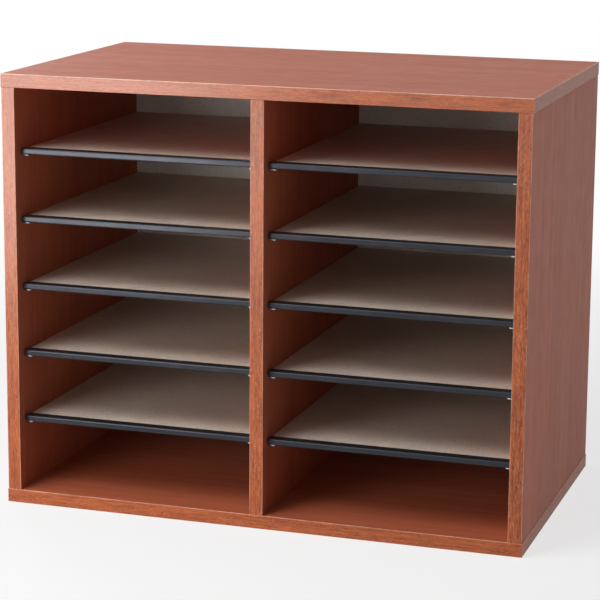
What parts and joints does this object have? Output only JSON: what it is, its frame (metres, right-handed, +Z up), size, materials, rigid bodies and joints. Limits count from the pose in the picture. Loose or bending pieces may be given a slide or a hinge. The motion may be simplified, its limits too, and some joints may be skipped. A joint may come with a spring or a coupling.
{
  "type": "literature organizer",
  "caption": "Free-standing board case with columns of loose hardboard shelves, each with a black edge moulding and resting on bent wires, for sorting letter-size papers.",
  "frame": {"origin": "centre of the underside, on the surface that the case stands on", "axes": "+X to the right seen from the open front, +Y from the open front to the back panel, +Z up"},
  "size_m": [0.4952, 0.2984, 0.4064],
  "materials": {
    "wood_laminate": "satin laminate with a straight cherry grain",
    "edge_band": "satin printed edge strip with a fine grain",
    "shelf_hardboard": "smooth-faced hardboard, matt",
    "back_hardboard": "smooth-faced hardboard, matt",
    "shelf_moulding": "glossy extruded black plastic",
    "support_wire": "bright zinc-plated wire",
    "staple_steel": "plain galvanised wire",
    "dowel_wood": "plain fluted beech"
  },
  "bodies": {
    "cabinet": {"back_panel": "back_hardboard", "back_panel_staples": "staple_steel", "bottom_front_band": "edge_band", "bottom_left_band": "edge_band", "bottom_panel": "wood_laminate", "bottom_right_band": "edge_band", "centre_divider": "wood_laminate", "divider_front_band": "edge_band", "dowels": "dowel_wood", "left_side_front_band": "edge_band", "left_side_panel": "wood_laminate", "right_side_front_band": "edge_band", "right_side_panel": "wood_laminate", "top_front_band": "edge_band", "top_left_band": "edge_band", "top_panel": "wood_laminate", "top_right_band": "edge_band", "wire_left_column_left_1": "support_wire", "wire_left_column_left_2": "support_wire", "wire_left_column_left_3": "support_wire", "wire_left_column_left_4": "support_wire", "wire_left_column_left_5": "support_wire", "wire_left_column_right_1": "support_wire", "wire_left_column_right_2": "support_wire", "wire_left_column_right_3": "support_wire", "wire_left_column_right_4": "support_wire", "wire_left_column_right_5": "support_wire", "wire_right_column_left_1": "support_wire", "wire_right_column_left_2": "support_wire", "wire_right_column_left_3": "support_wire", "wire_right_column_left_4": "support_wire", "wire_right_column_left_5": "support_wire", "wire_right_column_right_1": "support_wire", "wire_right_column_right_2": "support_wire", "wire_right_column_right_3": "support_wire", "wire_right_column_right_4": "support_wire", "wire_right_column_right_5": "support_wire"},
    "shelf_left_1": {"shelf_board_left_1": "shelf_hardboard", "shelf_moulding_left_1": "shelf_moulding"},
    "shelf_left_2": {"shelf_board_left_2": "shelf_hardboard", "shelf_moulding_left_2": "shelf_moulding"},
    "shelf_left_3": {"shelf_board_left_3": "shelf_hardboard", "shelf_moulding_left_3": "shelf_moulding"},
    "shelf_left_4": {"shelf_board_left_4": "shelf_hardboard", "shelf_moulding_left_4": "shelf_moulding"},
    "shelf_left_5": {"shelf_board_left_5": "shelf_hardboard", "shelf_moulding_left_5": "shelf_moulding"},
    "shelf_right_1": {"shelf_board_right_1": "shelf_hardboard", "shelf_moulding_right_1": "shelf_moulding"},
    "shelf_right_2": {"shelf_board_right_2": "shelf_hardboard", "shelf_moulding_right_2": "shelf_moulding"},
    "shelf_right_3": {"shelf_board_right_3": "shelf_hardboard", "shelf_moulding_right_3": "shelf_moulding"},
    "shelf_right_4": {"shelf_board_right_4": "shelf_hardboard", "shelf_moulding_right_4": "shelf_moulding"},
    "shelf_right_5": {"shelf_board_right_5": "shelf_hardboard", "shelf_moulding_right_5": "shelf_moulding"}
  },
  "joints": [
    {"name": "shelf_slide_left_1", "type": "slide", "parent": "cabinet", "child": "shelf_left_1", "axis": [0, -1, 0], "range_m": [0, 0.3]},
    {"name": "shelf_slide_left_2", "type": "slide", "parent": "cabinet", "child": "shelf_left_2", "axis": [0, -1, 0], "range_m": [0, 0.3]},
    {"name": "shelf_slide_left_3", "type": "slide", "parent": "cabinet", "child": "shelf_left_3", "axis": [0, -1, 0], "range_m": [0, 0.3]},
    {"name": "shelf_slide_left_4", "type": "slide", "parent": "cabinet", "child": "shelf_left_4", "axis": [0, -1, 0], "range_m": [0, 0.3]},
    {"name": "shelf_slide_left_5", "type": "slide", "parent": "cabinet", "child": "shelf_left_5", "axis": [0, -1, 0], "range_m": [0, 0.3]},
    {"name": "shelf_slide_right_1", "type": "slide", "parent": "cabinet", "child": "shelf_right_1", "axis": [0, -1, 0], "range_m": [0, 0.3]},
    {"name": "shelf_slide_right_2", "type": "slide", "parent": "cabinet", "child": "shelf_right_2", "axis": [0, -1, 0], "range_m": [0, 0.3]},
    {"name": "shelf_slide_right_3", "type": "slide", "parent": "cabinet", "child": "shelf_right_3", "axis": [0, -1, 0], "range_m": [0, 0.3]},
    {"name": "shelf_slide_right_4", "type": "slide", "parent": "cabinet", "child": "shelf_right_4", "axis": [0, -1, 0], "range_m": [0, 0.3]},
    {"name": "shelf_slide_right_5", "type": "slide", "parent": "cabinet", "child": "shelf_right_5", "axis": [0, -1, 0], "range_m": [0, 0.3]}
  ]
}
